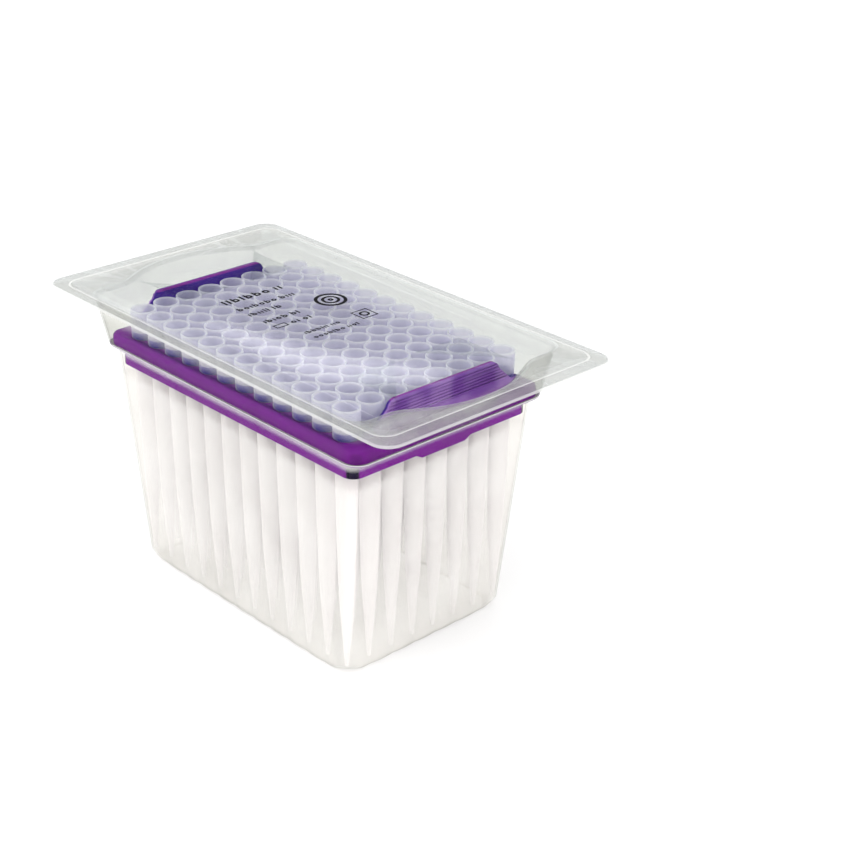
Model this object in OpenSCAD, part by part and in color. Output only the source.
// Sealed refill pack of pipette tips: a clear thermoformed container with a
// film lid, and in it a lift-out tray that holds 12 columns of 8 long tips.
// Millimetres. Origin at the centre of the base, +Z up, +X along the columns.

/* [Tip grid] */
// Distance between the centres of neighbouring tips
tip_pitch = 9; // [8.8:0.1:11]

/* [Tip] */
// Length of a tip from its rim to its point
tip_length = 87.3; // [70:0.1:100]
// Height of the hub, the wide part that stands on the deck
hub_height = 9.7; // [6:0.1:14]
// How much wider the hub is at its rim than where it meets the deck
hub_flare = 0.15; // [0:0.05:0.2]
// How far the foot of the hub reaches over its hole in the deck
hub_seat = 0.25; // [0.15:0.05:0.3]
// Outer radius of the body just under the hub
body_r = 3.65; // [3:0.05:3.7]
// Outer radius at the point
point_r = 0.6; // [0.5:0.05:0.8]
// Wall thickness of the hub and the body
tip_wall = 0.45; // [0.3:0.05:0.6]
// Radius of the bore at the point
point_bore_r = 0.28; // [0.2:0.02:0.36]

/* [Tray] */
// Thickness of the deck
deck_t = 1.4; // [1.3:0.1:2.5]
// Radius of the round edge between the deck's top face and the rim
deck_edge_r = 1.2; // [0.4:0.1:1.2]
// Deck beyond the centres of the end columns
deck_margin_x = 11.3; // [10.8:0.1:14]
// Deck beyond the centres of the side rows
deck_margin_y = 6.5; // [6.2:0.1:9]
// Corner radius of the deck
deck_corner_r = 4; // [2:0.5:5]
// Height of the deck's top face above the ledge it stands on
rim_height = 3.7; // [2:0.1:5]
// Wall thickness of the rim and of the skirt
tray_wall = 1; // [0.6:0.1:1.2]
// Depth of the skirt below the ledge
skirt_depth = 6.3; // [3:0.1:9]
// Extra depth of the tongue in the middle of each short side of the skirt
tongue_depth = 1.3; // [0:0.1:3]
// Width of that tongue
tongue_width = 20; // [10:1:30]
// Gap between a tip's body and its hole in the deck
hole_clearance = 0.15; // [0.1:0.05:0.25]

/* [Handles] */
// Thickness of a lift handle
handle_t = 1.4; // [1:0.1:2]
// Height of a lift handle above the deck
handle_height = 11; // [8:0.5:11.5]
// Length of a handle along its top edge
handle_top_length = 44; // [30:1:46]
// Length of a handle at its foot
handle_foot_length = 63; // [56:1:66]
// Height of the straight foot of a handle
handle_foot_height = 3.4; // [2:0.1:5]
// Radius of a handle's top corners
handle_corner_r = 3; // [1:0.5:4]
// Inset of the handle's outer face from the edge of the deck
handle_inset = 3.6; // [3:0.1:4.4]
// Spacing of the grip ridges on the outer face of a handle
ridge_pitch = 1; // [0.8:0.1:2]
// How far a grip ridge stands proud
ridge_height = 0.3; // [0.1:0.05:0.5]

/* [Container] */
// Thickness of the drawn walls
wall_t = 0.5; // [0.3:0.05:0.8]
// Thickness of the flange, which isn't drawn out
flange_t = 1; // [0.8:0.1:1.5]
// Space between the points of the tips and the floor
point_gap = 2.5; // [2.3:0.1:4]
// Base beyond the centres of the end columns
base_margin_x = 1.8; // [1.8:0.1:4]
// Base beyond the centres of the side rows
base_margin_y = 1.9; // [1.8:0.1:3.5]
// Corner radius of the base
base_corner_r = 3.2; // [2:0.1:3.4]
// Radius of the round edge between wall and base
base_edge_r = 1.8; // [1:0.1:2.4]
// Rise of the slanted cut of each bottom corner, for each millimetre that it comes in
foot_slope = 2.35; // [2:0.05:3.5]
// Space between that cut and the point of the corner tip
foot_clearance = 0.15; // [0.1:0.05:1]
// Depth of the flutes at the foot of the walls, one between each two tips
flute_depth = 0.35; // [0.1:0.05:0.5]
// Height at which the flutes have run out
flute_height = 24; // [8:1:40]
// Gap between the tray's skirt and the lower wall
skirt_gap = 0.15; // [0.1:0.05:0.8]
// Gap between the tray's rim and the upper wall
rim_gap = 0.8; // [0.5:0.1:1.5]
// Width of the ledge along its short sides
ledge_width_x = 3.4; // [3:0.1:4.6]
// Width of the ledge along its long sides
ledge_width_y = 2.1; // [2:0.1:2.8]
// Corner radius where the ledge meets the upper wall
ledge_corner_r = 5; // [3:0.5:6]
// How far the upper wall leans out from the ledge to the flange, short sides
upper_lean_x = 3.4; // [1:0.1:6]
// How far the upper wall leans out from the ledge to the flange, long sides
upper_lean_y = 2.7; // [1:0.1:4]
// Space between the tips' rims and the film
film_gap = 3.2; // [3:0.1:10]
// Round edge between the upper wall and the flange
lip_r = 1; // [0.6:0.1:1.5]

/* [Finger scoops] */
// Distance that a scoop reaches out beyond the upper wall at the flange
scoop_reach = 9.7; // [6:0.1:12]
// Radius of the scoop's round wall at the flange
scoop_r = 41; // [38:1:60]
// How softly a scoop runs into the straight wall
scoop_blend = 3; // [1:0.1:4]

/* [Flange and film] */
// Width of the flange beyond the opening, short sides
flange_width_x = 17.7; // [14:0.1:22]
// Width of the flange beyond the opening, long sides
flange_width_y = 5; // [4:0.1:10]
// Corner radius of the flange and the film
flange_corner_r = 6; // [3:0.5:12]
// Thickness of the film
film_t = 0.15; // [0.1:0.01:0.3]

/* [Hidden] */
// The 96-well layout: 12 columns of 8
COLUMNS = 12;
ROWS = 8;

function column_name(c) = str("tips_column_", c < 10 ? "0" : "", c);

$fn = 48;

// Segments in an eighth of a circle, and in one flute, of the container's outlines
CORNER_STEPS = 4;
FLUTE_STEPS = 4;
// Segments from the last flute to the corner
PLAIN_STEPS = 4;
// Angles of a round edge seen in section
EDGE = [0, 45, 90];
// Radius of the small round edges along the ledge
LEDGE_ROUND = 0.5;
// Overlap that makes cutting solids pass through a face
CUT = 1;

// Centres of the outermost tips
grid_x = tip_pitch * (COLUMNS - 1) / 2;
grid_y = tip_pitch * (ROWS - 1) / 2;

// Heights, from the floor up
point_z = wall_t + point_gap;
rim_z = point_z + tip_length;
deck_z = rim_z - hub_height;
ledge_z = deck_z - rim_height;
flange_z = rim_z + film_gap;
skirt_z = ledge_z - skirt_depth;

// Outer faces of the base
base_half_x = grid_x + base_margin_x;
base_half_y = grid_y + base_margin_y;

// Tray
deck_x = grid_x + deck_margin_x;
deck_y = grid_y + deck_margin_y;
hole_r = body_r + hole_clearance;

// Hub of a tip, which stands on the rim of its hole
hub_foot_r = hole_r + hub_seat;
hub_rim_r = hub_foot_r + hub_flare;

// Inside of the container at its ledge, and the top of its lower wall
ledge_x = deck_x + rim_gap;
ledge_y = deck_y + rim_gap;
well_x = ledge_x - ledge_width_x;
well_y = ledge_y - ledge_width_y;

// The slanted plane that cuts a bottom corner clears the point of the corner tip. On it, half_x +
// half_y grows by foot_slope with each millimetre of height.
foot_sum = grid_x + grid_y + sqrt(2) * (point_r + foot_clearance) - foot_slope * point_z
    + wall_t * sqrt(2 + foot_slope * foot_slope);

// Skirt of the tray, which fits into the well down to the tip of its tongue
skirt_x = lower_station(0, skirt_z - tongue_depth, 0)[0] - skirt_gap;
skirt_y = lower_station(0, skirt_z, 0)[1] - skirt_gap;

// Opening at the top face of the flange
open_x = ledge_x + upper_lean_x;
open_y = ledge_y + upper_lean_y;
flange_x = open_x + flange_width_x;
flange_y = open_y + flange_width_y;
// The scoop is a cone about an upright axis: its foot just touches the ledge's edge
scoop_axis_x = open_x + scoop_reach - scoop_r;
scoop_foot_r = ledge_x - scoop_axis_x;

// ---------------------------------------------------------------- outlines

// Points of an arc about [x, y], from angle a to angle b
function arc(x, y, r, a, b, steps) = [for (i = [0 : steps]) let (t = a + (b - a) * i / steps) [x + r * cos(t), y + r * sin(t)]];

// The larger of two values, with a smooth passage where they differ by less than k
function smooth_max(a, b, k) = max(a, b) + pow(max(k - abs(a - b), 0), 2) / (4 * k);

// A bow of height 1 from each tip to the next, with its cusps level with the tips
function flute(v) = let (u = v / tip_pitch + 0.5, w = u - floor(u)) 4 * w * (1 - w);

// x of an end wall at y: straight at half_x, or the scoop's circle where that lies further out
function end_x(half_x, scoop, y) =
    scoop == 0 ? half_x : smooth_max(half_x, scoop_axis_x + sqrt(max(0, scoop * scoop - y * y)), scoop_blend);

// Half a wall, as [distance from its middle, how far it bows out]: flutes, then a plain stretch up to "end"
function half_wall(end, tips, depth) =
    let (flutes = (tips - 3) * FLUTE_STEPS / 2, plain = flutes * tip_pitch / FLUTE_STEPS)
    concat(
        [for (i = [0 : flutes - 1]) let (v = i * tip_pitch / FLUTE_STEPS) [v, depth * flute(v)]],
        [for (i = [0 : PLAIN_STEPS - 1]) [plain + (end - plain) * i / PLAIN_STEPS, 0]]
    );

// A corner of an outline, cut off at 45 degrees, "cut" along each side. Both edges of the cut are
// rounded, so that a cut of ROUND * r is a plain round corner.
ROUND = 2 - sqrt(2);
function corner(half_x, half_y, r, cut) =
    let (
        end = cut + r * tan(22.5),
        step = 45 / CORNER_STEPS,
        middle = [half_x - end + half_x - r, half_y - end + half_y - r] / 2 + [r, r] * cos(45)
    )
    concat(
        arc(half_x - r, half_y - end, r, 0, 45 - step, CORNER_STEPS - 1),
        [middle],
        arc(half_x - end, half_y - r, r, 45 + step, 90, CORNER_STEPS - 1)
    );

// A quarter of an outline, from the middle of the end to the middle of the long side
function quarter(s) =
    let (cut = max(s[5], ROUND * s[2]), end = cut + s[2] * tan(22.5))
    concat(
        [for (v = half_wall(s[1] - end, ROWS, s[6])) [end_x(s[0], s[3], v[0]) + v[1], v[0]]],
        corner(s[0], s[1], s[2], cut),
        backwards([for (v = half_wall(s[0] - end, COLUMNS, s[6])) [v[0], s[1] + v[1]]])
    );

function flipped(points, x, y) = [for (p = points) [x * p[0], y * p[1]]];
function backwards(points) = [for (i = [len(points) - 1 : -1 : 0]) points[i]];
// Without both ends, which the mirrored neighbour already has
function middle(points) = [for (i = [1 : len(points) - 2]) points[i]];

// A closed outline at height s[4], counter-clockwise, with as many points whatever its size
function outline(s) =
    let (q = quarter(s))
    [for (p = concat(q, middle(backwards(flipped(q, -1, 1))), flipped(q, -1, -1), middle(backwards(flipped(q, 1, -1)))))
        [p[0], p[1], s[4]]];

// ---------------------------------------------------------------- container

// Stations of the container's skin, each [half_x, half_y, corner_r, scoop_r, z, cut, flute].
// "grow" is how far a surface lies outside the inner one: 0 inside, the wall outside.

// half_x + half_y on the slanted plane that cuts a bottom corner, at height z
function foot_plane(grow, z) = foot_sum + foot_slope * z - (wall_t - grow) * sqrt(2 + foot_slope * foot_slope);

// Height at which that plane runs out into the plain corner
function foot_top(grow) =
    let (inset = 2 * (wall_t - grow) + ROUND * (base_corner_r - wall_t + grow))
    (base_half_x + base_half_y - inset - foot_plane(grow, 0)) / foot_slope;

// Depth of the flutes at height z
function flutes_at(z) = flute_depth * max(0, 1 - z / flute_height);

// The lower wall at height z, moved inwards by "inset"
function lower_station(grow, z, inset) =
    let (
        t = (z - base_edge_r) / (ledge_z - base_edge_r),
        x = base_half_x - wall_t + (well_x - base_half_x + wall_t) * t + grow - inset,
        y = base_half_y - wall_t + (well_y - base_half_y + wall_t) * t + grow - inset
    )
    [x, y, base_corner_r - wall_t + grow - inset / 2, 0, z, x + y - foot_plane(grow, z), flutes_at(z)];

// Round edge between floor and lower wall, then the wall up to the underside of the ledge
function lower_stations(grow) =
    let (edge = base_edge_r - wall_t + grow)
    concat(
        [for (a = EDGE) lower_station(grow, base_edge_r - edge * cos(a), edge * (1 - sin(a)))],
        [for (z = [foot_top(grow), flute_height, ledge_z - grow - LEDGE_ROUND]) lower_station(grow, z, 0)]
    );

// The upper wall at height z, moved outwards by "out"
function upper_station(grow, z, out) =
    let (t = (z - ledge_z) / (flange_z - ledge_z), g = grow + out)
    [ledge_x + upper_lean_x * t + g, ledge_y + upper_lean_y * t + g, ledge_corner_r + 0.5 * t + g,
        scoop_foot_r + (scoop_r - scoop_foot_r) * max(0, t) + g, z, 0, 0];

// Ledge, scooped upper wall and the round lip that leads over to the flange
function upper_stations(grow) =
    let (
        ledge = ledge_z - grow,
        edge = LEDGE_ROUND + grow,
        under = grow > 0 ? flange_t : 0,
        start = ledge + edge,
        lip_z = flange_z - under - lip_r
    )
    concat(
        [[well_x + grow + LEDGE_ROUND, well_y + grow + LEDGE_ROUND, base_corner_r, 0, ledge, 0, 0]],
        [for (a = EDGE)
            let (inset = edge * (1 - sin(a)))
            [ledge_x + grow - inset, ledge_y + grow - inset, ledge_corner_r + grow - inset, 0, start - edge * cos(a), 0, 0]],
        [for (t = [1 / 3, 2 / 3]) upper_station(grow, start + (lip_z - start) * t, 0)],
        [for (a = EDGE) upper_station(grow, lip_z + lip_r * sin(a), lip_r * (1 - cos(a)))]
    );

function flange_station(z) = [flange_x, flange_y, flange_corner_r, 0, z, 0, 0];

// The whole skin: up the inside, over the flange, down the outside
function container_stations() = concat(
    lower_stations(0),
    upper_stations(0),
    [flange_station(flange_z), flange_station(flange_z - flange_t)],
    backwards(concat(lower_stations(wall_t), upper_stations(wall_t)))
);

module container() {
    stations = container_stations();
    rings = [for (s = stations) outline(s)];
    n = len(rings[0]);
    last = len(rings) - 1;
    inner_centre = n * len(rings);
    outer_centre = inner_centre + 1;
    color([0.80, 0.85, 0.86, 0.35])
        polyhedron(
            points = concat(
                [for (ring = rings) each ring],
                [[0, 0, stations[0][4]], [0, 0, stations[last][4]]]
            ),
            faces = [
                for (i = [0 : n - 1]) let (j = (i + 1) % n) each concat(
                    [[inner_centre, j, i]],
                    [for (k = [0 : last - 1]) let (a = k * n, b = a + n) each
                        [[a + i, b + j, b + i], [a + i, a + j, b + j]]],
                    [[outer_centre, last * n + i, last * n + j]]
                )
            ]
        );
}

// ---------------------------------------------------------------- film

module rounded_rect(half_x, half_y, r) {
    square([2 * half_x - 2 * r, 2 * half_y], center = true);
    square([2 * half_x, 2 * half_y - 2 * r], center = true);
    for (x = [-1, 1], y = [-1, 1])
        translate([x * (half_x - r), y * (half_y - r)])
            circle(r);
}

module lid_film() {
    color([0.86, 0.90, 0.90, 0.3])
        translate([0, 0, flange_z])
            linear_extrude(film_t)
                rounded_rect(flange_x, flange_y, flange_corner_r);
}

// ---------------------------------------------------------------- tray

// Deck plate and the rim below its edge, in one shell with a round upper edge
module deck_and_rim() {
    difference() {
        hull()
            for (a = [0, 30, 60, 90]) {
                inset = deck_edge_r * (1 - cos(a));
                translate([0, 0, ledge_z])
                    linear_extrude(deck_z - ledge_z - deck_edge_r * (1 - sin(a)))
                        rounded_rect(deck_x - inset, deck_y - inset, deck_corner_r - inset);
            }
        translate([0, 0, ledge_z - CUT])
            linear_extrude(deck_z - deck_t - ledge_z + CUT)
                rounded_rect(deck_x - tray_wall, deck_y - tray_wall, deck_corner_r - tray_wall);
    }
}

// Stands a face up across the x axis, its thickness running from x = 0 towards +X
module upright(thickness) {
    rotate([90, 0, 90])
        linear_extrude(thickness)
            children();
}

// Skirt below the deck: a ring wall that goes up into the deck plate. Seen from the short sides, its
// lower edge has a tongue in the middle.
module skirt() {
    slope = 1.2;
    intersection() {
        translate([0, 0, skirt_z - tongue_depth - CUT])
            linear_extrude(deck_z - deck_t / 2 - skirt_z + tongue_depth + CUT)
                difference() {
                    rounded_rect(skirt_x, skirt_y, deck_corner_r);
                    rounded_rect(skirt_x - tray_wall, skirt_y - tray_wall, deck_corner_r - tray_wall);
                }
        translate([-deck_x, 0, skirt_z])
            upright(2 * deck_x)
                polygon([
                    [-deck_y, deck_z - skirt_z],
                    [-deck_y, 0],
                    [-tongue_width / 2 - slope, 0],
                    [-tongue_width / 2 + slope, -tongue_depth],
                    [tongue_width / 2 - slope, -tongue_depth],
                    [tongue_width / 2 + slope, 0],
                    [deck_y, 0],
                    [deck_y, deck_z - skirt_z]
                ]);
    }
}

// Face of a handle, in a plane: a straight foot, slanted sides and round top corners
module handle_face() {
    foot = handle_foot_length / 2;
    top = handle_top_length / 2;
    shoulder = (foot + top) / 2;
    polygon(concat(
        [[-foot, -deck_t / 2], [foot, -deck_t / 2], [foot, handle_foot_height], [shoulder + 1.3, handle_foot_height]],
        arc(top - handle_corner_r + 0.5, handle_height - handle_corner_r, handle_corner_r, 12, 90, 6),
        arc(-top + handle_corner_r - 0.5, handle_height - handle_corner_r, handle_corner_r, 90, 168, 6),
        [[-shoulder - 1.3, handle_foot_height], [-foot, handle_foot_height]]
    ));
}

module handle() {
    translate([deck_x - handle_inset - handle_t, 0, deck_z]) {
        upright(handle_t)
            handle_face();
        translate([handle_t, 0, 0])
            upright(ridge_height)
                intersection() {
                    handle_face();
                    for (z = [handle_foot_height + 1 : ridge_pitch : handle_height - 0.6])
                        translate([-handle_foot_length / 2, z])
                            square([handle_foot_length, ridge_pitch / 2]);
                }
    }
}

module tip_tray() {
    color([0.36, 0.13, 0.52])
        difference() {
            union() {
                deck_and_rim();
                skirt();
                for (side = [0, 180])
                    rotate([0, 0, side])
                        handle();
            }
            for (c = [0 : COLUMNS - 1], r = [0 : ROWS - 1])
                translate([c * tip_pitch - grid_x, r * tip_pitch - grid_y, skirt_z - CUT])
                    cylinder(r = hole_r, h = deck_z - skirt_z + 2 * CUT);
        }
}

// ---------------------------------------------------------------- tips

// Height of the shoulder above the point of a tip
shoulder_h = tip_length - hub_height;

// Outer radius of the body at a height above the point, given as a share of the shoulder's height.
// The body is four cones of ever slower taper.
BODY_PROFILE = [[0, 0], [0.12, 0.24], [0.33, 0.61], [0.6, 0.81], [1, 1]];
function body_outer(i) = point_r + (body_r - point_r) * BODY_PROFILE[i][1];
function body_bore(i) = i == 0 ? point_bore_r : body_outer(i) - tip_wall;

// One tip, its point at the origin: a hollow body of revolution
module tip() {
    top = len(BODY_PROFILE) - 1;
    edge = 0.3;
    rotate_extrude()
        polygon(concat(
            [for (i = [0 : top]) [body_outer(i), shoulder_h * BODY_PROFILE[i][0]]],
            [[hub_foot_r - edge / 3, shoulder_h], [hub_foot_r, shoulder_h + edge]],
            [[hub_rim_r, tip_length - edge], [hub_rim_r - edge / 3, tip_length]],
            [[hub_rim_r - tip_wall, tip_length], [hub_foot_r - tip_wall - edge, shoulder_h + edge]],
            [for (i = [top : -1 : 0]) [body_bore(i), shoulder_h * BODY_PROFILE[i][0]]]
        ));
}

// The tips of column c, counted from 1
module tips_column(c) {
    color([0.90, 0.88, 0.94])
        for (r = [0 : ROWS - 1])
            translate([(c - 1) * tip_pitch - grid_x, r * tip_pitch - grid_y, point_z])
                tip();
}

container();
lid_film();
tip_tray();
for (c = [1 : COLUMNS])
    tips_column(c);
